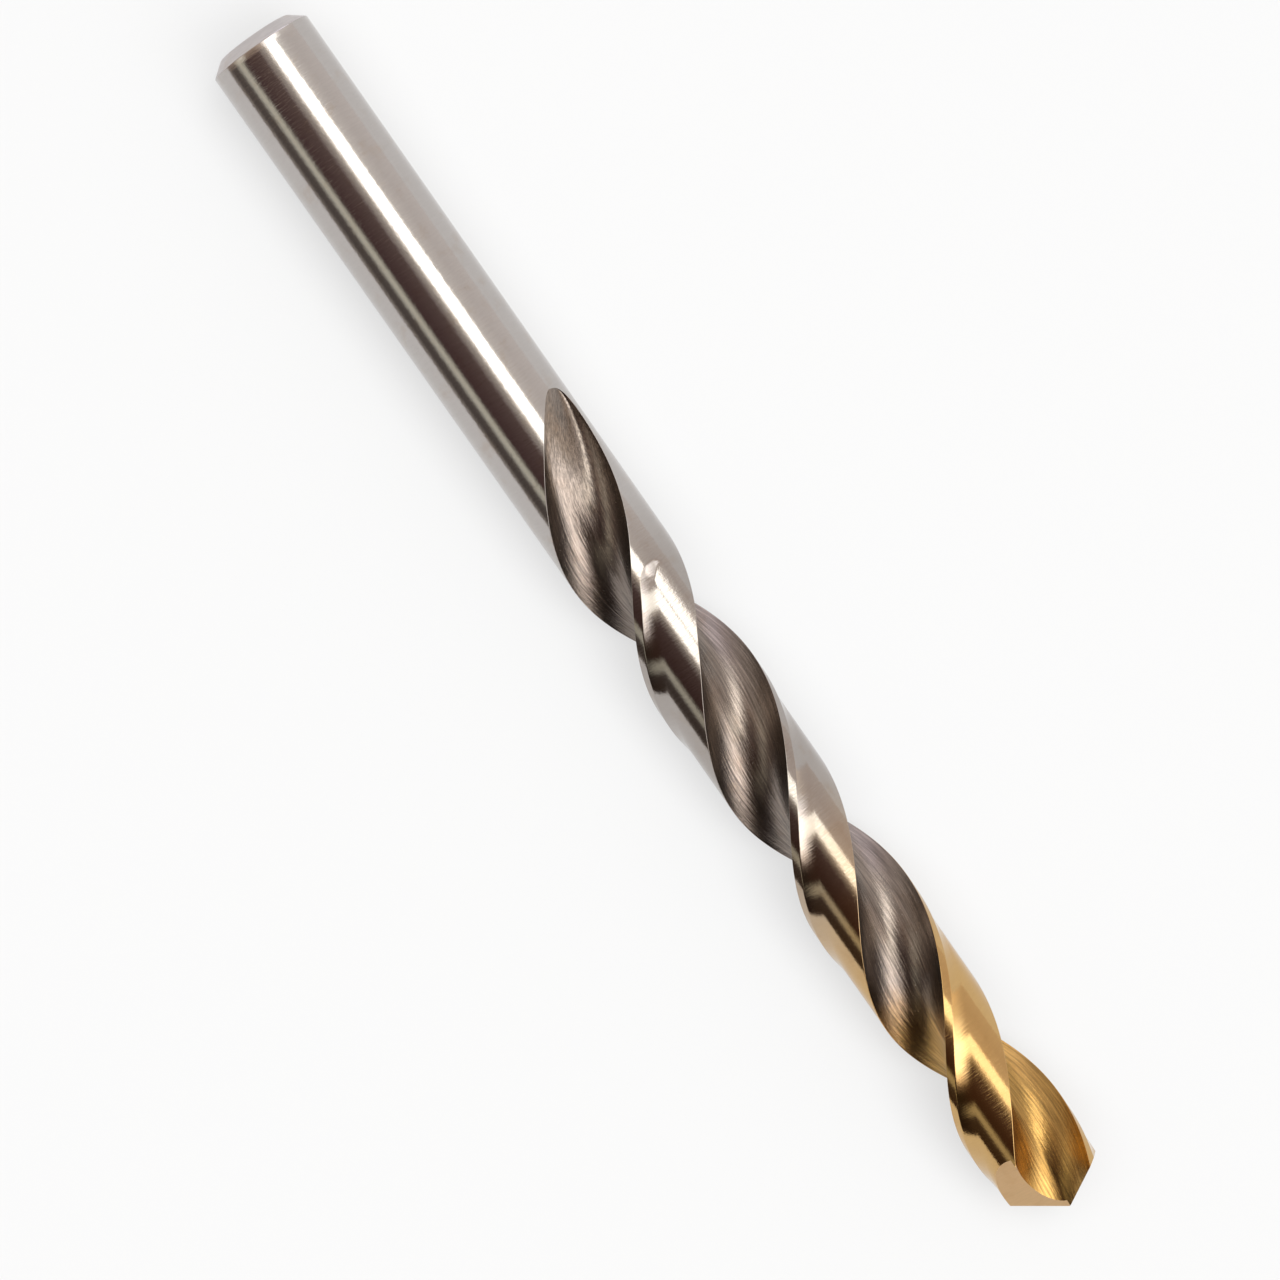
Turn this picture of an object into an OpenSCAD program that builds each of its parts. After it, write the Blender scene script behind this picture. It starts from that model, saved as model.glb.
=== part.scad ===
// Straight-shank twist drill with two right-hand helical flutes, a split point
// and a hard gold-coloured coating over its cutting end.
// The axis is +X from the shank to the point, and the origin is the centre of
// the shank's end face. All lengths are in millimetres, all angles in degrees.

/* [Drill] */
// Nominal drill diameter, over the margins
drill_d = 11; // [8:0.5:13]
// Overall length, from the shank's end face to the point
drill_len = 142; // [125:1:160]
// Length of the plain shank that a chuck can grip
shank_len = 44; // [36:1:50]
// Length of the coated cutting end, point included
coated_len = 32; // [20:1:40]

/* [Shank] */
// Length of the chamfer at the shank's end, along the axis
chamfer_len = 1.15; // [0.5:0.05:2]
// Depth of that chamfer, across the axis
chamfer_depth = 1.5; // [0.5:0.1:2]

/* [Flutes] */
// Length of one full turn of a flute
flute_lead = 54.2; // [48:0.2:64]
// Angle that each flute takes of the half turn it shares with one land
flute_angle = 100; // [92:1:108]
// Distance from the end of the shank to the start of the flutes
flute_gap = 0.6; // [0.5:0.1:3]
// Length over which a flute rises out of the metal near the shank
runout_len = 17.4; // [12:0.1:22]
// Width of the margin, measured round the drill
margin_w = 1.05; // [0.7:0.05:1.5]
// Depth of the body clearance behind each margin
clearance_depth = 0.34; // [0.15:0.01:0.45]
// Distance from the start of the flutes to the start of the body clearance
clearance_delay = 19.5; // [18:0.1:30]
// Thickness of the web between the two flutes, at the point
web_t = 2; // [1.6:0.1:2.4]
// Growth of the web's thickness for each millimetre towards the shank
web_growth = 0.012; // [0:0.001:0.018]

/* [Point] */
// Angle between the two cutting lips
point_angle = 118; // [110:1:140]
// Relief of the ground facet behind each lip
lip_relief = 10; // [8:1:16]
// Slope of the steep heel facet against the drill's axis
heel_facet_angle = 28.9; // [26:0.1:34]
// Height at which the plane of a heel facet crosses the axis, above the point
heel_facet_rise = 0.98; // [0.7:0.02:1.3]
// How far past the axis each heel facet is ground, which splits the chisel edge
gash_reach = 0.6; // [0.3:0.05:1]
// Length of the point's node, from the tip back
point_len = 12; // [10:1:16]
// Turn of the point about the axis, which sets how the drill lies
lip_phase = 214.9; // [0:0.1:360]

/* [Mesh] */
// Spacing of the cross-sections along the flutes
ring_step = 1.1; // [0.9:0.1:2]

/* [Hidden] */
// Fineness of the shank's round surface
$fn = 96;

r_margin = drill_d / 2;
r_land = r_margin - clearance_depth;
web_half = web_t / 2;
deg_per_mm = 360 / flute_lead;
lip_cot = 1 / tan(point_angle / 2);
coat_x = drill_len - coated_len;
point_x = drill_len - point_len;
flute_x = shank_len + flute_gap;
full_x = flute_x + runout_len;
clearance_x = flute_x + clearance_delay;
// Past the tip, so that the point's facets cut the whole section
overrun_x = drill_len + 1.5;
// Side of the blocks that the facets are cut with
block = 60;

// Leading corner of land 1 at the height where the lips meet the margin
corner_x = drill_len - r_margin * lip_cot;
corner_phase = lip_phase + asin(web_half / r_margin);

margin_angle = margin_w / r_margin * 180 / PI;
// Angle over which the land drops from the margin to the body clearance, and
// length over which it drops where the clearance starts
step_angle = 5;
step_len = 1.5;
land_angle = 180 - flute_angle;
margin_pts = 3;
land_pts = 9;
face_pts = 9;
wall_pts = 9;
// Share of a flute's narrowing in the run-out that its heel side takes
heel_share = 15;
// Smallest share of its width that a flute keeps where it ends
least_width = 0.08;
// Innermost radius of the lip's face, as a multiple of half the web
face_inner = 1.2;

// The four control points of the wall from the web to the heel, as multiples of
// the drill's radius: x along the lip of the flute's leading corner, y ahead of it
wall_ctrl_web = [0.036, 0.182];
wall_ctrl_heel = [-0.19, 0.6];

// Angle of land 1's leading corner at x
function lead_angle(x) = corner_phase + (x - corner_x) * deg_per_mm;

// Share of its full width that a flute has at x: a quarter of an ellipse
function width_share(x) =
    x >= full_x ? 1 : x <= flute_x ? least_width
    : max(least_width, sqrt(1 - pow((full_x - x) / runout_len, 2)));

// Share of its full depth that a flute has at x
function depth_share(x) = x <= flute_x ? 0 : x >= full_x ? 1 : pow(width_share(x), 2);

// Radius of the land behind its margin at x
function land_radius(x) =
    r_margin - clearance_depth * min(1, max(0, (x - clearance_x) / step_len));

// Points [radius, angle] of the flute's face, from the corner in to the web.
// The face is the helical surface through a straight lip.
function face_polar() = [
    for (i = [0:face_pts - 1])
        let (r = r_margin + (face_inner * web_half - r_margin) * sin(90 * i / (face_pts - 1)),
             a = asin(web_half / r) - asin(web_half / r_margin)
                 - deg_per_mm * (r_margin - r) * lip_cot)
        [r, a]
];

function bezier(p, t) =
    pow(1 - t, 3) * p[0] + 3 * t * pow(1 - t, 2) * p[1]
    + 3 * t * t * (1 - t) * p[2] + pow(t, 3) * p[3];

// Points [radius, angle] of the flute's wall, from the web out to the heel
function wall_polar(face_end) =
    let (start = face_end[0] * [cos(face_end[1]), sin(face_end[1])],
         heel = r_land * [cos(flute_angle), sin(flute_angle)],
         ctrl = [start, r_margin * wall_ctrl_web, r_margin * wall_ctrl_heel, heel])
    [for (i = [1:wall_pts])
        let (p = bezier(ctrl, i / wall_pts))
        [norm(p), atan2(p[1], p[0])]];

FACE = face_polar();
FLUTE = concat(FACE, wall_polar(FACE[face_pts - 1]));

// One flute point at x. The web grows towards the shank, and in the run-out the
// flute gets shallower and narrower, mostly on its leading side.
function flute_point(p, x, last) =
    let (web_here = web_half * face_inner + web_growth / 2 * (drill_len - x),
         share = (p[0] - web_half * face_inner) / (r_margin - web_half * face_inner),
         r_full = web_here + (r_margin - web_here) * share,
         rim = last ? land_radius(x) : r_margin,
         r = rim + (min(rim, r_full) - rim) * (last ? 0 : depth_share(x)),
         w = width_share(x),
         heel_loss = heel_share * pow(1 - w, 2),
         lead_loss = flute_angle * (1 - w) - heel_loss)
    [r, lead_loss + p[1] * w];

// Half of the cross-section at x, as points [radius, angle ahead of the leading
// corner]: the flute ahead of the corner, then the next land from heel to margin
function half_section(x) =
    let (flute = [for (i = [0:len(FLUTE) - 1]) flute_point(FLUTE[i], x, i == len(FLUTE) - 1)],
         heel = flute[len(flute) - 1][1],
         rim = land_radius(x),
         corner = 180 + flute[0][1],
         step = corner - margin_angle - step_angle)
    concat(
        flute,
        [for (i = [1:land_pts]) [rim, heel + (step - heel) * i / land_pts]],
        [for (i = [0:margin_pts - 1]) [r_margin, corner - margin_angle * (1 - i / margin_pts)]]);

// The whole cross-section at x, as points in space
function section(x) =
    let (half = half_section(x))
    [for (turn = [0, 180], p = half)
        let (a = lead_angle(x) + p[1] + turn)
        [x, p[0] * cos(a), p[0] * sin(a)]];

// Solid of the fluted drill between two heights
module fluted_solid(x0, x1) {
    steps = ceil((x1 - x0) / ring_step);
    rings = [for (i = [0:steps]) section(x0 + (x1 - x0) * i / steps)];
    n = len(rings[0]);
    points = [for (ring = rings, p = ring) p];
    side = [for (i = [0:steps - 1], j = [0:n - 1])
        let (k = (j + 1) % n, a = i * n, b = (i + 1) * n)
        each [[a + j, b + j, a + k], [a + k, b + j, b + k]]];
    near_cap = [for (j = [0:n - 1]) j];
    far_cap = [for (j = [n - 1:-1:0]) steps * n + j];
    polyhedron(points, concat(side, [near_cap, far_cap]), convexity = 6);
}

// Carries its children to the plane that crosses the axis at `through` and leans
// from +X by `lean` towards the direction `toward` round the axis: its outward
// normal becomes their x, and the direction 90 degrees ahead of `toward` their z
module on_plane(through, lean, toward) {
    translate([through, 0, 0])
        rotate([toward, 0, 0])
            rotate([0, 0, lean])
                children();
}

// Everything below the facet ground behind the lip that points towards `turn`.
// The facet falls outwards along the lip, and backwards from it.
module below_lip_facet(turn) {
    fall_out = lip_cot;
    fall_back = tan(lip_relief);
    on_plane(drill_len, atan(norm([fall_out, fall_back])), turn - atan2(fall_back, fall_out))
        translate([-block / 2, 0, 0])
            cube(block, center = true);
}

// What the grinding wheel takes away to make the steep heel facet behind that
// lip. It stops at a wall just past the axis, so that the other lip stays whole.
module heel_gash(turn) {
    on_plane(drill_len + heel_facet_rise, 90 - heel_facet_angle, turn - 90)
        translate([0, -block / 2, -gash_reach])
            cube(block);
}

// Plain ground cylinder that the chuck grips, chamfered at its end
module shank() {
    color([0.68, 0.66, 0.64])
        rotate([0, 90, 0])
            rotate_extrude()
                polygon([
                    [0, 0],
                    [r_margin - chamfer_depth, 0],
                    [r_margin, chamfer_len],
                    [r_margin, shank_len],
                    [0, shank_len],
                ]);
}

// Bare steel part of the fluted body, from the run-out on
module fluted_body() {
    color([0.50, 0.46, 0.42])
        fluted_solid(shank_len, coat_x);
}

// Coated part of the fluted body, up to the point
module coated_body() {
    color([0.80, 0.62, 0.34])
        fluted_solid(coat_x, point_x);
}

// Cutting end: two lips, a short chisel edge and four ground facets
module split_point() {
    color([0.76, 0.62, 0.44])
        difference() {
            intersection() {
                fluted_solid(point_x, overrun_x);
                below_lip_facet(lip_phase);
                below_lip_facet(lip_phase + 180);
            }
            heel_gash(lip_phase);
            heel_gash(lip_phase + 180);
        }
}

shank();
fluted_body();
coated_body();
split_point();
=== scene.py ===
"""Looks of a straight-shank twist drill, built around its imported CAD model.

Every object is in metres in the CAD frame: +X runs along the drill's axis from
the shank to the point, +Z is up, and the drill lies on a floor under it.
"""
import math

import bpy
import numpy as np
from mathutils import Matrix, Vector
from mathutils.kdtree import KDTree


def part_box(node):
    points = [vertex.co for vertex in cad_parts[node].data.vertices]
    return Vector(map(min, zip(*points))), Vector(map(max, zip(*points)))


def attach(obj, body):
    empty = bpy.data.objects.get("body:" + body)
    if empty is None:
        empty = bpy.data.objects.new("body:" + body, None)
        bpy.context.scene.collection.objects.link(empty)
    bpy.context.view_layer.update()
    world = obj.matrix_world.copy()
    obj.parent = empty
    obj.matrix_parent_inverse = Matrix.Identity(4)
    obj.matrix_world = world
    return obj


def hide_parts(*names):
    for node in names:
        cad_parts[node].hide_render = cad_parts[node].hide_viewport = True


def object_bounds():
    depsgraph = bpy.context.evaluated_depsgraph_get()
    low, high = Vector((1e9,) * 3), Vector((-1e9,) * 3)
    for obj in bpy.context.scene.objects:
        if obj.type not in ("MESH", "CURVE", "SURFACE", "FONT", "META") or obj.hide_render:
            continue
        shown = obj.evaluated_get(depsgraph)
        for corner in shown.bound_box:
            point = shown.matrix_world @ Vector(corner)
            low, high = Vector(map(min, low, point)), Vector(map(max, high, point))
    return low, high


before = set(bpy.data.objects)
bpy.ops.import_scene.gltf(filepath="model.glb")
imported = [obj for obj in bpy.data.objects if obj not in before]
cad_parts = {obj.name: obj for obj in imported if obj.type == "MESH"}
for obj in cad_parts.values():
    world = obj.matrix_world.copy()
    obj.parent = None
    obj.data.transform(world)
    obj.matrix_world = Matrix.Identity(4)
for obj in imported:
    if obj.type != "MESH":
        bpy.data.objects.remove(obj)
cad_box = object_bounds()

MM = 0.001

# ---------------------------------------------------------------- dimensions
# The pieces meet where the CAD nodes meet, and the rest of the shape follows
# from the same driving dimensions as the CAD model. Millimetres and degrees.
SHANK_X0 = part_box("shank")[0].x / MM
SHANK_X1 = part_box("shank")[1].x / MM
COAT_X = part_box("coated_body")[0].x / MM
POINT_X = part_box("split_point")[0].x / MM
TIP_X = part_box("split_point")[1].x / MM
R_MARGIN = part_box("shank")[1].z / MM

CHAMFER_LEN = 1.15
CHAMFER_DEPTH = 1.5
FLUTE_LEAD = 54.2
FLUTE_ANGLE = 100.0
FLUTE_X = SHANK_X1 + 0.6
RUNOUT_LEN = 17.4
# The body clearance: a hollow ground behind the margin, as deep as CLEARANCE and
# falling over RAMP_W, with a straight top edge CLEARANCE_TOP behind the corner
CLEARANCE_X = FLUTE_X + 19.5
CLEARANCE = 0.34
CLEARANCE_TOP = 36.3
CLEARANCE_ROUND = 0.9
MARGIN_W = 1.05
RAMP_W = 1.75
# Half of the web's thickness at the point, and the growth of the whole per mm
WEB_HALF = 1.0
WEB_GROWTH = 0.012
POINT_ANGLE = 118.0
LIP_RELIEF = 10.0
HEEL_FACET_ANGLE = 28.9
HEEL_FACET_RISE = 0.98
GASH_REACH = 0.6
LIP_PHASE = 214.9
LIP_COT = 1 / math.tan(math.radians(POINT_ANGLE / 2))
DEG_PER_MM = 360 / FLUTE_LEAD
HELIX_COS = math.cos(math.atan(2 * math.pi * R_MARGIN / FLUTE_LEAD))
CORNER_X = TIP_X - R_MARGIN * LIP_COT
CORNER_PHASE = LIP_PHASE + math.degrees(math.asin(WEB_HALF / R_MARGIN))
# Innermost radius of the lip's face, as a multiple of half the web, and the two
# control points of the wall from the web to the heel, in radii of the drill
FACE_INNER = 1.2
WALL_CTRL_WEB = (0.036, 0.182)
WALL_CTRL_HEEL = (-0.19, 0.6)
# Degrees of a flute's narrowing in the run-out that its heel side takes
HEEL_LOSS = 15.0
# Smallest share of its width that a flute keeps where it ends
LEAST_WIDTH = 0.02
# How far each way the leading corners and the heels are rounded
EDGE_LEAD = 0.035
EDGE_HEEL = 0.07
# How far the point's cross-sections run on past the tip before it is cut
OVERRUN = 1.5
# Spacing of the cross-sections along the flutes, at the point, where the flutes
# begin and where the clearance begins, and how fast it grows from those two
RING_STEP = 0.3
POINT_RING_STEP = 0.2
FLUTE_START_STEP = 0.04
FLUTE_START_GROWTH = 0.25
CLEARANCE_START_STEP = 0.1
CLEARANCE_START_GROWTH = 0.2
# How far each way the shank's turned edges are broken
EDGE_BREAK = 0.06
# Points round the shank
SHANK_PTS = 360
# Size of the blocks that cut the point's facets
BLOCK = 60.0


# ---------------------------------------------------------------- the section
def smooth(a, b, v):
    """0 up to a and 1 from b on, with a smooth rise between them."""
    t = np.clip((v - a) / (b - a), 0, 1)
    return t * t * (3 - 2 * t)


def resample(points, count):
    """The same open line through count evenly spaced points."""
    step = np.hypot(*np.diff(points, axis=0).T)
    run = np.concatenate([[0], np.cumsum(step)])
    want = np.linspace(0, run[-1], count)
    return np.stack([np.interp(want, run, points[:, k]) for k in (0, 1)], 1)


def flute_line(count):
    """[radius, angle] along a full flute: the face in from the leading corner,
    round the web and out along the wall to the heel."""
    r = R_MARGIN + (FACE_INNER * WEB_HALF - R_MARGIN) * np.sin(np.linspace(0, math.pi / 2, 60))
    a = (np.degrees(np.arcsin(WEB_HALF / r)) - math.degrees(math.asin(WEB_HALF / R_MARGIN))
         - DEG_PER_MM * (R_MARGIN - r) * LIP_COT)
    face = np.stack([r * np.cos(np.radians(a)), r * np.sin(np.radians(a))], 1)
    r_land = R_MARGIN - CLEARANCE
    heel = r_land * np.array([math.cos(math.radians(FLUTE_ANGLE)), math.sin(math.radians(FLUTE_ANGLE))])
    p = [face[-1], R_MARGIN * np.array(WALL_CTRL_WEB), R_MARGIN * np.array(WALL_CTRL_HEEL), heel]
    t = np.linspace(0, 1, 60)[1:, None]
    wall = (1 - t) ** 3 * p[0] + 3 * t * (1 - t) ** 2 * p[1] + 3 * t * t * (1 - t) * p[2] + t ** 3 * p[3]
    line = resample(np.concatenate([face, wall]), count)
    return np.hypot(*line.T), np.degrees(np.arctan2(line[:, 1], line[:, 0]))


# Points across one flute and across one land
FLUTE_PTS = 84
LAND_PTS = 80
FLUTE_R, FLUTE_A = flute_line(FLUTE_PTS)


def inside_corner(a, b):
    """Distance in from a rounded corner, from the distances in from its sides."""
    a, b = CLEARANCE_ROUND - a, CLEARANCE_ROUND - b
    past = np.minimum(np.maximum(a, b), 0)
    return CLEARANCE_ROUND - np.hypot(np.maximum(a, 0), np.maximum(b, 0)) - past


def land_radius(x, behind):
    """Radius of a land at x, at an angle behind its leading corner. The clearance
    falls more evenly from its start and top edge than from the margin."""
    mm_per_deg = math.radians(1) * R_MARGIN
    from_start = x - CLEARANCE_X
    from_top = (CLEARANCE_TOP + from_start * DEG_PER_MM - behind) * mm_per_deg
    from_margin = (behind * mm_per_deg - MARGIN_W) * HELIX_COS
    shallow = np.clip(inside_corner(from_start, from_top) / RAMP_W, 0, 1)
    shallow = shallow * (1.5 - 0.5 * shallow)
    hollow = 1 - (1 - np.clip(inside_corner(from_start, from_margin) / RAMP_W, 0, 1)) ** 2
    return R_MARGIN - CLEARANCE * np.minimum(shallow, hollow)


def fillet(points, index, reach, count=5):
    """Points that round the corner of a closed outline at index, over reach each way."""
    p = points[index]
    a = points[index - 1] - p
    b = points[(index + 1) % len(points)] - p
    a, b = p + a / np.hypot(*a) * reach, p + b / np.hypot(*b) * reach
    t = np.linspace(0, 1, count)[:, None]
    return (1 - t) ** 2 * a + 2 * t * (1 - t) * p + t * t * b


def ring(x):
    """The whole cross-section at x as points in space, and what each belongs to:
    1 for a flute, 0 for a land."""
    rel = np.clip((FLUTE_X + RUNOUT_LEN - x) / RUNOUT_LEN, 0, 1)
    width = max(LEAST_WIDTH, math.sqrt(max(0.0, 1 - rel ** 2)))
    depth = width ** 2 if x > FLUTE_X else 0.0
    heel_loss = HEEL_LOSS * (1 - width) ** 2
    lead_loss = FLUTE_ANGLE * (1 - width) - heel_loss
    web = WEB_HALF * FACE_INNER + WEB_GROWTH / 2 * (TIP_X - x)
    share = (FLUTE_R - WEB_HALF * FACE_INNER) / (R_MARGIN - WEB_HALF * FACE_INNER)
    r_full = web + (R_MARGIN - web) * share
    flute_a = lead_loss + FLUTE_A * width
    heel_behind = 180 + lead_loss - flute_a[-1]
    rim_heel = float(land_radius(x, heel_behind))
    # The wall ends on the land wherever the land is at this height
    along = np.linspace(0, 1, FLUTE_PTS)
    uncut_r = R_MARGIN + (rim_heel - R_MARGIN) * smooth(0.55, 1.0, along)
    r_fit = r_full * (1 + smooth(0.7, 1.0, along) * (rim_heel / (R_MARGIN - CLEARANCE) - 1))
    flute_r = uncut_r + (r_fit - uncut_r) * depth
    flute_r[0] = R_MARGIN
    flute_r[-1] = rim_heel
    # The land's points lie a little closer together at its margin
    behind = heel_behind * np.linspace(1, 0, LAND_PTS + 1) ** 1.15
    land_r = land_radius(x, behind)
    land_a = 180 + lead_loss - behind
    out, kind = [], []
    base = CORNER_PHASE + (x - CORNER_X) * DEG_PER_MM
    for turn in (0, 180):
        fa = np.radians(flute_a + base + turn)
        la = np.radians(land_a + base + turn)
        out.append(np.stack([flute_r * np.cos(fa), flute_r * np.sin(fa)], 1))
        kind.append(np.ones(FLUTE_PTS))
        out.append(np.stack([land_r * np.cos(la), land_r * np.sin(la)], 1)[1:-1])
        kind.append(np.zeros(LAND_PTS - 1))
    pts = np.concatenate(out)
    kind = np.concatenate(kind)
    half = FLUTE_PTS + LAND_PTS - 1
    # The rounding fades out where the flute ends
    fade = min(1.0, width * 1.5)
    rounded, flags = [], []
    for i in range(len(pts)):
        j = i % half
        if j == 0:
            rounded.append(fillet(pts, i, EDGE_LEAD * fade))
            flags.append([0, 0, 0, 0, 1])
        elif j == FLUTE_PTS - 1:
            rounded.append(fillet(pts, i, EDGE_HEEL * fade))
            flags.append([1, 0, 0, 0, 0])
        else:
            rounded.append(pts[i][None])
            flags.append([kind[i]])
    flat = np.concatenate(rounded)
    return np.column_stack([np.full(len(flat), x), flat]), np.concatenate(flags)


# ---------------------------------------------------------------- mesh pieces
def grid_normals(grid):
    """Outward normals of a closed-round grid [ring, point, xyz]."""
    along = np.gradient(grid, axis=0)
    across = np.roll(grid, -1, axis=1) - np.roll(grid, 1, axis=1)
    n = np.cross(across, along)
    n /= np.linalg.norm(n, axis=2, keepdims=True) + 1e-12
    return n


def ring_places(x0, x1, step):
    """Places of the cross-sections, closer together where the flutes and the
    clearance begin, with one more before x0 and one past x1."""
    xs = [x0]
    while xs[-1] < x1:
        flute_start = FLUTE_START_STEP + FLUTE_START_GROWTH * abs(xs[-1] - FLUTE_X)
        middle = CLEARANCE_X + 0.3
        clearance_start = CLEARANCE_START_STEP + CLEARANCE_START_GROWTH * abs(xs[-1] - middle)
        xs.append(xs[-1] + min(step, flute_start, clearance_start))
    xs = x0 + (np.array(xs) - x0) * (x1 - x0) / (xs[-1] - x0)
    return np.concatenate([[2 * x0 - xs[1]], xs, [2 * x1 - xs[-2]]])


def fluted_grid(x0, x1, step):
    """Rings from x0 to x1, their normals and their kinds. The normals come from
    a grid that runs on past both ends, so that pieces meet without a crease."""
    rings, flags = zip(*[ring(x) for x in ring_places(x0, x1, step)])
    grid = np.array(rings)
    return grid[1:-1], grid_normals(grid)[1:-1], np.array(flags)[0]


def mesh_object(name, verts, faces, face_materials, materials):
    mesh = bpy.data.meshes.new(name)
    mesh.from_pydata([tuple(v) for v in verts], [], faces)
    for m in materials:
        mesh.materials.append(m)
    mesh.polygons.foreach_set("material_index", np.array(face_materials, np.int32))
    mesh.update()
    obj = bpy.data.objects.new(name, mesh)
    bpy.context.scene.collection.objects.link(obj)
    return obj


def fluted_mesh(name, x0, x1, step, materials):
    """Closed mesh of the fluted drill between x0 and x1, and the points and
    normals of its side. Each end is one flat face."""
    grid, normals, flags = fluted_grid(x0, x1, step)
    rings, count = grid.shape[:2]
    i, j = np.meshgrid(np.arange(rings - 1), np.arange(count), indexing="ij")
    k = (j + 1) % count
    quads = np.stack([i * count + j, i * count + k, (i + 1) * count + k, (i + 1) * count + j], -1)
    faces = [tuple(q) for q in quads.reshape(-1, 4).tolist()]
    in_flute = (flags[j] + flags[k] > 1) & (grid[1:, :, 0] > FLUTE_X)
    mats = in_flute.astype(int).reshape(-1).tolist()
    faces.append(tuple(range(count - 1, -1, -1)))
    faces.append(tuple(range((rings - 1) * count, rings * count)))
    mats += [0, 0]
    obj = mesh_object(name, grid.reshape(-1, 3) * MM, faces, mats, materials)
    return obj, grid.reshape(-1, 3) * MM, normals.reshape(-1, 3)


def smooth_side(obj, places, normals, flat_material=None):
    """Gives the side its own normals, and leaves the ends and any faces with
    flat_material flat."""
    mesh = obj.data
    mesh.shade_smooth()
    near = KDTree(len(places))
    for i, place in enumerate(places):
        near.insert(place, i)
    near.balance()
    at_vertex = [normals[near.find(v.co)[1]] for v in mesh.vertices]
    loops = [None] * len(mesh.loops)
    for face in mesh.polygons:
        flat = face.material_index == flat_material or abs(face.normal.x) > 0.999
        for k in face.loop_indices:
            loops[k] = face.normal if flat else at_vertex[mesh.loops[k].vertex_index]
    mesh.normals_split_custom_set([tuple(v) for v in loops])


def fluted_piece(name, x0, x1, step, materials):
    obj, places, normals = fluted_mesh(name, x0, x1, step, materials)
    smooth_side(obj, places, normals)
    return obj


def shank_piece(material, end_material):
    """Plain shank: a turned outline with its edges just broken."""
    brk = EDGE_BREAK
    r_end = R_MARGIN - CHAMFER_DEPTH
    slope = Vector((CHAMFER_LEN, CHAMFER_DEPTH)).normalized()
    outline = [
        (SHANK_X0, 0.0), (SHANK_X0, r_end - brk),
        (SHANK_X0 + 0.3 * slope.x * brk, r_end - 0.25 * brk),
        (SHANK_X0 + slope.x * brk, r_end + slope.y * brk),
        (SHANK_X0 + CHAMFER_LEN - slope.x * brk, R_MARGIN - slope.y * brk),
        (SHANK_X0 + CHAMFER_LEN - 0.1 * brk, R_MARGIN - 0.3 * brk),
        (SHANK_X0 + CHAMFER_LEN + brk, R_MARGIN),
    ]
    # Bands of faces on the chamfer and its edges, which look like the end
    chamfer_bands = len(outline) - 3
    for x in np.linspace(SHANK_X0 + CHAMFER_LEN + brk, SHANK_X1, 60)[1:]:
        outline.append((float(x), R_MARGIN))
    outline.append((SHANK_X1, 0.0))
    count = SHANK_PTS
    ang = np.arange(count) * 2 * math.pi / count
    body = outline[1:-1]
    verts = [(outline[0][0], 0, 0)]
    for x, r in body:
        verts += [(x, r * math.cos(a), r * math.sin(a)) for a in ang]
    verts.append((outline[-1][0], 0, 0))
    last = len(verts) - 1
    faces, mats = [], []
    for a in range(count):
        b = (a + 1) % count
        faces.append((0, 1 + b, 1 + a))
        mats.append(1)
    for i in range(len(body) - 1):
        for a in range(count):
            b = (a + 1) % count
            p, q = 1 + i * count, 1 + (i + 1) * count
            faces.append((p + a, p + b, q + b, q + a))
            mats.append(1 if i < chamfer_bands else 0)
    for a in range(count):
        b = (a + 1) % count
        q = 1 + (len(body) - 1) * count
        faces.append((q + a, q + b, last))
        mats.append(0)
    obj = mesh_object("shank_ground", np.array(verts) * MM, faces, mats, [material, end_material])
    obj.data.shade_smooth()
    obj.data.set_sharp_from_angle(angle=math.radians(32))
    return obj


def cutter(through, lean, toward, z_from, material):
    """Block on the plane that crosses the axis at `through` and leans from +X by
    `lean` towards the direction `toward` round the axis. It starts at z_from in
    the direction 90 degrees ahead."""
    corners = [(x, y, z) for x in (0, BLOCK) for y in (-BLOCK, BLOCK)
               for z in (z_from, z_from + 2 * BLOCK)]
    turn = Matrix.Rotation(math.radians(toward), 4, "X") @ Matrix.Rotation(lean, 4, "Z")
    verts = [(Matrix.Translation((through, 0, 0)) @ turn @ Vector(c)) * MM for c in corners]
    faces = [(0, 1, 3, 2), (4, 6, 7, 5), (0, 4, 5, 1), (2, 3, 7, 6), (0, 2, 6, 4), (1, 5, 7, 3)]
    return mesh_object("cutter", verts, faces, [0] * 6, [material])


def point_piece(name, x0, step, materials):
    """The point: the fluted solid cut by the two lip facets and two heel gashes."""
    obj, places, normals = fluted_mesh(name, x0, TIP_X + OVERRUN, step, materials)
    relief = math.tan(math.radians(LIP_RELIEF))
    lean = math.atan(math.hypot(LIP_COT, relief))
    swing = math.degrees(math.atan2(relief, LIP_COT))
    steep = math.radians(90 - HEEL_FACET_ANGLE)
    cutters = []
    for turn in (LIP_PHASE, LIP_PHASE + 180):
        cutters.append(cutter(TIP_X, lean, turn - swing, -BLOCK, materials[2]))
        cutters.append(cutter(TIP_X + HEEL_FACET_RISE, steep, turn - 90, -GASH_REACH, materials[2]))
    for block in cutters:
        cut = obj.modifiers.new("cut", "BOOLEAN")
        cut.operation = "DIFFERENCE"
        cut.solver = "EXACT"
        cut.material_mode = "TRANSFER"
        cut.object = block
    shape = bpy.data.meshes.new_from_object(obj.evaluated_get(bpy.context.evaluated_depsgraph_get()))
    obj.modifiers.clear()
    obj.data = shape
    for block in cutters:
        bpy.data.objects.remove(block)
    smooth_side(obj, places, normals, flat_material=shape.materials.find(materials[2].name))
    return obj


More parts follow.
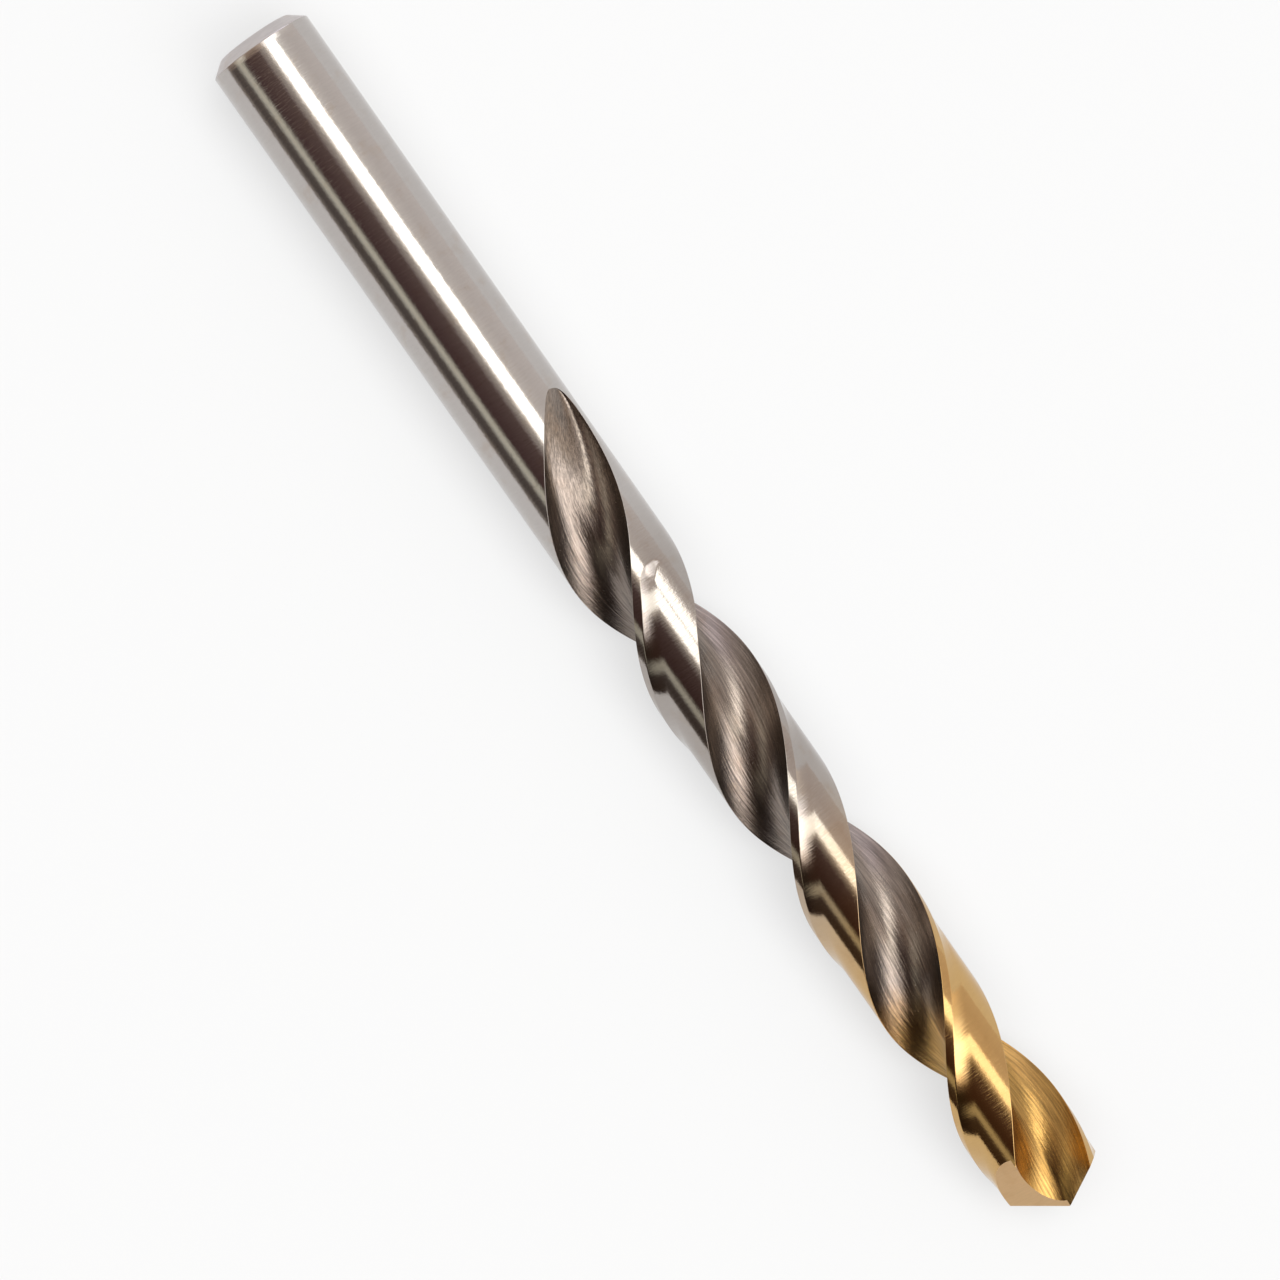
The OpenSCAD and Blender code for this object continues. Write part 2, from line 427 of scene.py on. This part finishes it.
# ---------------------------------------------------------------- materials
class Nodes:
    """Small helper that adds nodes to a tree and links them. A value is a number,
    a colour or another node's socket."""

    def __init__(self, tree):
        self.tree = tree

    def add(self, kind, **settings):
        node = self.tree.nodes.new(kind)
        for key, value in settings.items():
            setattr(node, key, value)
        return node

    def put(self, socket, value):
        if isinstance(value, bpy.types.NodeSocket):
            self.tree.links.new(value, socket)
        else:
            socket.default_value = value

    def math(self, operation, a, b):
        node = self.add("ShaderNodeMath", operation=operation)
        self.put(node.inputs[0], a)
        self.put(node.inputs[1], b)
        return node.outputs[0]

    def mix(self, factor, a, b, blend="MIX"):
        node = self.add("ShaderNodeMix", data_type="RGBA", blend_type=blend)
        self.put(node.inputs[0], factor)
        self.put(node.inputs[6], a)
        self.put(node.inputs[7], b)
        return node.outputs[2]

    def noise(self, vector, scale, detail, rough):
        node = self.add("ShaderNodeTexNoise")
        self.put(node.inputs["Vector"], vector)
        node.inputs["Scale"].default_value = scale
        node.inputs["Detail"].default_value = detail
        node.inputs["Roughness"].default_value = rough
        return node.outputs["Fac"]

    def stretch(self, vector, x, y, z):
        node = self.add("ShaderNodeMapping")
        self.put(node.inputs["Vector"], vector)
        node.inputs["Scale"].default_value = (x, y, z)
        return node.outputs[0]

    def ramp(self, value, *stops):
        node = self.add("ShaderNodeValToRGB")
        self.put(node.inputs[0], value)
        marks = node.color_ramp.elements
        while len(marks) < len(stops):
            marks.new(0.5)
        for mark, (at, colour) in zip(marks, stops):
            mark.position = at
            mark.color = (*colour, 1)
        return node.outputs[0]

    def span(self, value, a, b, to_a=0.0, to_b=1.0):
        """Runs smoothly from to_a to to_b as the value goes from a to b."""
        node = self.add("ShaderNodeMapRange", interpolation_type="SMOOTHSTEP")
        self.put(node.inputs[0], value)
        for i, v in enumerate((a, b, to_a, to_b)):
            node.inputs[i + 1].default_value = v
        return node.outputs[0]


# Reflectances of the ground steel, of the film over it, and of specks of dirt,
# and the tint that stains give them
STEEL = (0.46, 0.43, 0.41)
END_STEEL = (0.52, 0.48, 0.47)
# The lands' steel is darker than the shank's: painted shade, for the drill's own shadow on the floor that
# the lands mirror
LAND_STEEL_SHADED = (0.38, 0.345, 0.32)
FLUTE_STEEL = (0.245, 0.205, 0.178)
GOLD = (0.56, 0.36, 0.15)
FLUTE_GOLD = (0.42, 0.25, 0.08)
FACET_GOLD = (0.70, 0.46, 0.24)
DIRT = (0.10, 0.075, 0.06)
STAIN = (0.88, 0.77, 0.66)
# Where the shank's tone turns into the lands' darker tone, which is painted shade
LAND_SHADE_SPAN = (CLEARANCE_X - 8, CLEARANCE_X + 2)


def metal(name, steel, gold, film_x, lines, roughness, ridge, contrast, shank=None):
    """Ground steel that turns gold where the nitride film starts.
    film_x is where that begins and ends, in millimetres. lines is "round" for
    grinding lines round the axis, and "helix" for lines along the flutes. ridge
    is the height of those lines in metres, and contrast how much they darken.
    shank is the colour to take up to the body clearance, where it differs: the steel colour after it is
    darker on the lands, as painted shade."""
    m = bpy.data.materials.new(name)
    m.use_nodes = True
    n = Nodes(m.node_tree)
    shader = m.node_tree.nodes["Principled BSDF"]
    shader.inputs["Metallic"].default_value = 1.0
    place = n.add("ShaderNodeTexCoord").outputs["Object"]
    split = n.add("ShaderNodeSeparateXYZ")
    n.put(split.inputs[0], place)
    x = split.outputs[0]
    # Noise scales are per metre, so 6000 gives lines about 0.17 mm apart
    if lines == "helix":
        turn = n.add("ShaderNodeVectorRotate", rotation_type="X_AXIS")
        n.put(turn.inputs["Vector"], place)
        n.put(turn.inputs["Angle"], n.math("MULTIPLY", x, -2 * math.pi / (FLUTE_LEAD * MM)))
        local = turn.outputs[0]
        fine = n.noise(n.stretch(local, 260, 6000, 6000), 1.0, 3.0, 0.65)
        coarse = n.noise(n.stretch(local, 160, 2600, 2600), 1.0, 2.0, 0.55)
    else:
        fine = n.noise(n.stretch(place, 6500, 700, 700), 1.0, 2.0, 0.6)
        coarse = n.noise(n.stretch(place, 1500, 110, 110), 1.0, 2.0, 0.5)
    speckle = n.noise(place, 3000, 3.0, 0.7)
    blotch = n.noise(place, 420, 4.0, 0.6)
    cloud = n.noise(place, 95, 3.0, 0.55)
    specks = n.noise(place, 5200, 2.0, 0.7)
    # The film starts unevenly, and everything is a little stained
    edge = n.math("ADD", x, n.math("MULTIPLY", n.math("SUBTRACT", cloud, 0.5), 0.010))
    film = n.span(edge, film_x[0] * MM, film_x[1] * MM)
    bare = (*steel, 1)
    # Past the shank the steel darkens to the given colour; on the lands that darkening is painted shade
    if shank:
        bare = n.mix(n.span(x, LAND_SHADE_SPAN[0] * MM, LAND_SHADE_SPAN[1] * MM), (*shank, 1), bare)
    tone = n.mix(film, bare, (*gold, 1))
    grain = n.math("ADD", n.math("MULTIPLY", fine, 0.75), n.math("MULTIPLY", coarse, 0.25))
    tone = n.mix(1.0, tone, n.span(grain, 0.3, 0.7, 1 - contrast, 1 + 0.5 * contrast), "MULTIPLY")
    warm = n.span(blotch, 0.50, 0.75, 0.0, 0.4)
    tone = n.mix(warm, tone, n.mix(1.0, tone, (*STAIN, 1), "MULTIPLY"))
    dirt = n.span(specks, 0.70, 0.80, 0.0, 0.45)
    n.put(shader.inputs["Base Color"], n.mix(dirt, tone, (*DIRT, 1)))
    rough = n.math("ADD", roughness, n.math("MULTIPLY", n.math("SUBTRACT", blotch, 0.5), 0.2 * roughness))
    n.put(shader.inputs["Roughness"], n.math("ADD", rough, n.math("MULTIPLY", dirt, 0.25)))
    bump = n.add("ShaderNodeBump")
    bump.inputs["Strength"].default_value = 1.0
    bump.inputs["Distance"].default_value = ridge
    n.put(bump.inputs["Height"], n.math("ADD", grain, n.math("MULTIPLY", speckle, 0.6)))
    n.put(shader.inputs["Normal"], bump.outputs[0])
    return m


# ---------------------------------------------------------------- the drill
# Where the film begins and is whole, on the lands and in the flutes
LAND_FILM = (90.0, 115.0)
FLUTE_FILM = (112.0, 122.5)

shank_steel = metal("shank_steel", STEEL, GOLD, LAND_FILM, "round",
                    roughness=0.11, ridge=0.000013, contrast=0.03)
end_steel = metal("shank_end_steel", END_STEEL, GOLD, LAND_FILM, "round",
                  roughness=0.36, ridge=0.000004, contrast=0.1)
# Lands: their steel darkens past the shank as painted shade for the mirrored shadow
shaded_land_metal = metal("shaded_land_metal", LAND_STEEL_SHADED, GOLD, LAND_FILM, "round",
                   roughness=0.11, ridge=0.000013, contrast=0.03, shank=STEEL)
flute_steel = metal("flute_steel", FLUTE_STEEL, FLUTE_GOLD, FLUTE_FILM, "helix",
                    roughness=0.24, ridge=0.000034, contrast=0.45)
facet_steel = metal("facet_steel", STEEL, FACET_GOLD, LAND_FILM, "round",
                    roughness=0.34, ridge=0.000003, contrast=0.04)

shank = shank_piece(shank_steel, end_steel)
body = fluted_piece("body_bare", SHANK_X1, COAT_X, RING_STEP, [shaded_land_metal, flute_steel])
coated = fluted_piece("body_coated", COAT_X, POINT_X, RING_STEP, [shaded_land_metal, flute_steel])
point = point_piece("point_ground", POINT_X, POINT_RING_STEP, [shaded_land_metal, flute_steel, facet_steel])

for piece, node, slot in (
    (shank, "shank", "ground_shank"),
    (body, "fluted_body", "bare_flutes"),
    (coated, "coated_body", "nitride_flutes"),
    (point, "split_point", "nitride_point"),
):
    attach(piece, "root")
    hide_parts(node)


# ---------------------------------------------------------------- the studio
def add_floor():
    """White table, lit from below as well, so that its shadows are faint."""
    half = 1.5
    z = cad_box[0][2]
    verts = [(-half, -half, z), (half, -half, z), (half, half, z), (-half, half, z)]
    mat = bpy.data.materials.new("paper_floor")
    mat.use_nodes = True
    shader = mat.node_tree.nodes["Principled BSDF"]
    shader.inputs["Base Color"].default_value = (0.15, 0.15, 0.15, 1)
    shader.inputs["Emission Color"].default_value = (1, 1, 1, 1)
    shader.inputs["Emission Strength"].default_value = 0.58
    shader.inputs["Roughness"].default_value = 0.9
    shader.inputs["Specular IOR Level"].default_value = 0.1
    floor = mesh_object("floor", np.array(verts), [(0, 1, 2, 3)], [0], [mat])


def add_world():
    """Soft studio surroundings, which the drill mirrors. They are bands along
    the drill, at angles round its axis: 0 is level on the +Y side, 90 overhead
    and 180 level on -Y. Beyond the point and beyond the shank they differ."""
    world = bpy.data.worlds.new("studio")
    bpy.context.scene.world = world
    world.use_nodes = True
    n = Nodes(world.node_tree)
    place = n.add("ShaderNodeTexCoord").outputs["Generated"]
    split = n.add("ShaderNodeSeparateXYZ")
    n.put(split.inputs[0], place)
    x, y, z = split.outputs
    turn = n.math("DIVIDE", n.math("ARCTAN2", z, y), math.pi)

    def bands(*stops):
        return n.ramp(turn, *((degrees / 180, colour) for degrees, colour in stops))

    # Beside the shank: a pale wall, a bright strip lamp, a dark card overhead
    # that ends at 135, a pale stripe at 147, and another dark card to the horizon
    beside_shank = bands(
        (0, (0.95, 0.90, 0.87)),
        (30, (0.88, 0.83, 0.80)),
        (55, (1.00, 0.95, 0.90)),
        (59, (4.80, 4.80, 4.60)),
        (76, (4.80, 4.80, 4.60)),
        (82, (1.00, 0.90, 0.80)),
        (88, (0.55, 0.50, 0.45)),
        (96, (0.34, 0.28, 0.26)),
        (99, (0.16, 0.11, 0.10)),
        (135, (0.09, 0.05, 0.05)),
        (144, (0.85, 0.83, 0.70)),
        (150, (0.75, 0.73, 0.63)),
        (157, (0.14, 0.12, 0.11)),
        (170, (0.12, 0.10, 0.09)),
        (179, (0.40, 0.36, 0.33)),
    )
    # The same beside the flutes, where the lamp is dimmer and the cards darker
    beside_flutes = bands(
        (0, (0.85, 0.77, 0.72)),
        (30, (0.78, 0.68, 0.62)),
        (55, (0.85, 0.75, 0.68)),
        (59, (2.40, 2.40, 2.20)),
        (76, (2.40, 2.40, 2.20)),
        (82, (0.90, 0.80, 0.70)),
        (88, (0.30, 0.25, 0.21)),
        (96, (0.10, 0.06, 0.05)),
        (135, (0.06, 0.03, 0.02)),
        (144, (0.60, 0.58, 0.48)),
        (150, (0.52, 0.50, 0.42)),
        (157, (0.08, 0.06, 0.05)),
        (179, (0.05, 0.03, 0.02)),
    )
    # Past the point: one wide lamp overhead, and darkness beyond it
    past_point = bands(
        (0, (1.40, 1.20, 1.00)),
        (25, (1.40, 1.30, 1.15)),
        (41, (2.40, 2.40, 2.40)),
        (60, (4.00, 3.90, 3.80)),
        (92, (3.60, 3.50, 3.40)),
        (104, (1.80, 1.65, 1.55)),
        (114, (0.25, 0.20, 0.17)),
        (124, (0.04, 0.03, 0.02)),
        (178, (0.02, 0.01, 0.01)),
    )
    # At the shank's end: the strip lamp goes on, and the cards are brown
    shank_end = bands(
        (0, (0.95, 0.90, 0.87)),
        (40, (1.10, 1.05, 1.00)),
        (53, (3.20, 3.20, 3.10)),
        (76, (3.20, 3.20, 3.10)),
        (86, (0.90, 0.75, 0.65)),
        (105, (0.50, 0.38, 0.30)),
        (125, (0.50, 0.38, 0.30)),
        (137, (1.30, 1.25, 1.10)),
        (150, (1.00, 0.95, 0.80)),
        (160, (0.45, 0.36, 0.30)),
        (178, (0.40, 0.32, 0.27)),
    )
    # Past the shank: a pale room, darker and warmer towards -Y
    past_shank = bands(
        (0, (2.00, 2.00, 2.20)),
        (30, (1.60, 1.55, 1.75)),
        (60, (0.80, 0.72, 0.72)),
        (90, (0.95, 0.88, 0.84)),
        (125, (0.75, 0.68, 0.62)),
        (178, (0.65, 0.58, 0.52)),
    )
    beside = n.mix(n.span(x, 0.04, 0.14), beside_shank, beside_flutes)
    light = n.mix(n.span(x, 0.24, 0.52), beside, past_point)
    towards_shank = n.math("MULTIPLY", x, -1.0)
    light = n.mix(n.span(towards_shank, 0.10, 0.28), light, shank_end)
    light = n.mix(n.span(towards_shank, 0.34, 0.50), light, past_shank)
    # The camera itself sees plain white past the table's edge
    seen = n.add("ShaderNodeLightPath").outputs["Is Camera Ray"]
    background = world.node_tree.nodes["Background"]
    n.put(background.inputs[0], n.mix(seen, light, (1, 1, 1, 1)))
    background.inputs[1].default_value = 1.0


def add_lamp():
    """Large soft lamp overhead that lights the floor. The drill doesn't mirror
    it: what it mirrors is in the surroundings."""
    lamp = bpy.data.lights.new("soft_lamp", "AREA")
    lamp.shape = "SQUARE"
    lamp.size = 1.4
    lamp.energy = 22
    lamp.color = (0.93, 0.97, 1.0)
    obj = bpy.data.objects.new("soft_lamp", lamp)
    bpy.context.scene.collection.objects.link(obj)
    middle = Vector((TIP_X * MM / 2, 0, 0))
    obj.location = middle + Vector((0, 0, 1.0))
    obj.visible_glossy = False
    obj.visible_camera = False


def add_camera():
    """Looks almost straight down on the drill, from a little towards the shank."""
    distance = 0.3918
    tilt = math.radians(4.72)
    roll = math.radians(54.96)
    off_middle = Vector((-0.0008, -0.0029, 0))
    middle = Vector((TIP_X * MM / 2, 0, 0)) + off_middle
    turn = Matrix.Rotation(-tilt, 4, "Y") @ Matrix.Rotation(roll, 4, "Z")
    camera = bpy.data.cameras.new("camera")
    camera.lens = 110.8
    camera.sensor_width = 36
    camera.clip_start = 0.01
    obj = bpy.data.objects.new("camera", camera)
    bpy.context.scene.collection.objects.link(obj)
    obj.matrix_world = Matrix.Translation(middle + turn.to_3x3() @ Vector((0, 0, distance))) @ turn
    bpy.context.scene.camera = obj


add_floor()
add_world()
add_lamp()
add_camera()
bpy.context.scene.view_settings.view_transform = "Standard"
